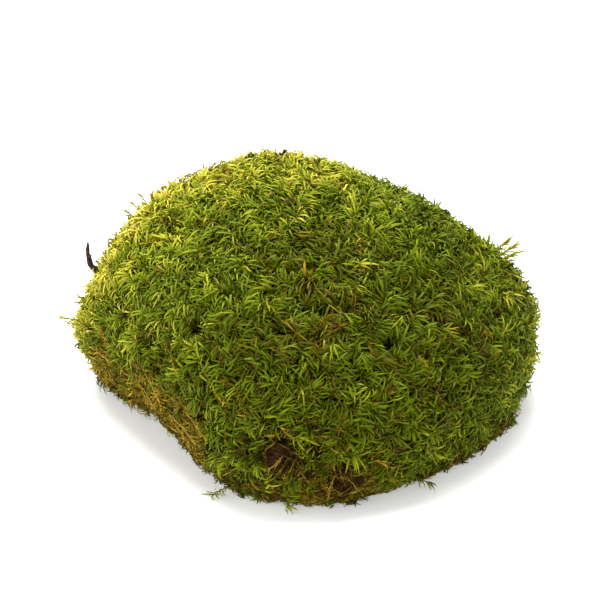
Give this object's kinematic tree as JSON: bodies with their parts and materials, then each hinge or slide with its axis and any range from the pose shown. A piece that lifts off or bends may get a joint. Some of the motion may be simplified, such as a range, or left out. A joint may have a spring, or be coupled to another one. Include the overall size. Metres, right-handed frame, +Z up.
{
  "type": "moss clump",
  "caption": "Lifted clump of cushion moss: a lumpy green mound of packed leafy shoots on a brown felt of rhizoids and soil, resting on its felt.",
  "frame": {"origin": "the middle of the clump's box, at the level of the ground that its felt rests on", "axes": "+Z up, +Y to the broad back of the clump, -Y to its narrow nose, +X to the right seen from the nose"},
  "size_m": [0.1256, 0.1276, 0.0601],
  "materials": {
    "shoots": "matte",
    "felt": "matte",
    "soil": "matte",
    "dead_stem": "matte",
    "bark": "matte"
  },
  "bodies": {
    "root": {"moss_cushion": "shoots", "rhizoid_mat": "felt", "soil_clod_1": "soil", "soil_clod_2": "soil", "left_shoulder_shoot_1": "shoots", "left_shoulder_shoot_2": "shoots", "left_shoulder_shoot_3": "shoots", "right_shoulder_shoot_1": "shoots", "right_shoulder_shoot_2": "shoots", "right_shoulder_shoot_3": "shoots", "left_brim_shoot_1": "shoots", "left_brim_shoot_2": "shoots", "right_brim_shoot_1": "shoots", "right_brim_shoot_2": "shoots", "right_brim_shoot_3": "shoots", "back_brim_shoot_1": "shoots", "back_brim_shoot_2": "shoots", "back_brim_shoot_3": "shoots", "front_hem_shoot_1": "shoots", "front_hem_shoot_2": "shoots", "front_hem_shoot_3": "shoots", "lying_shoot_1": "shoots", "lying_shoot_2": "shoots", "lying_shoot_3": "shoots", "dead_stem_1": "dead_stem", "dead_stem_2": "dead_stem", "dead_stem_3": "dead_stem", "dead_stem_4": "dead_stem", "dead_stem_5": "dead_stem", "dead_stem_6": "dead_stem", "dead_stem_7": "dead_stem", "dead_stem_8": "dead_stem", "dead_stem_9": "dead_stem", "dead_stem_10": "dead_stem", "dead_stem_11": "dead_stem", "dead_stem_12": "dead_stem", "stray_twig": "bark"}
  },
  "joints": []
}
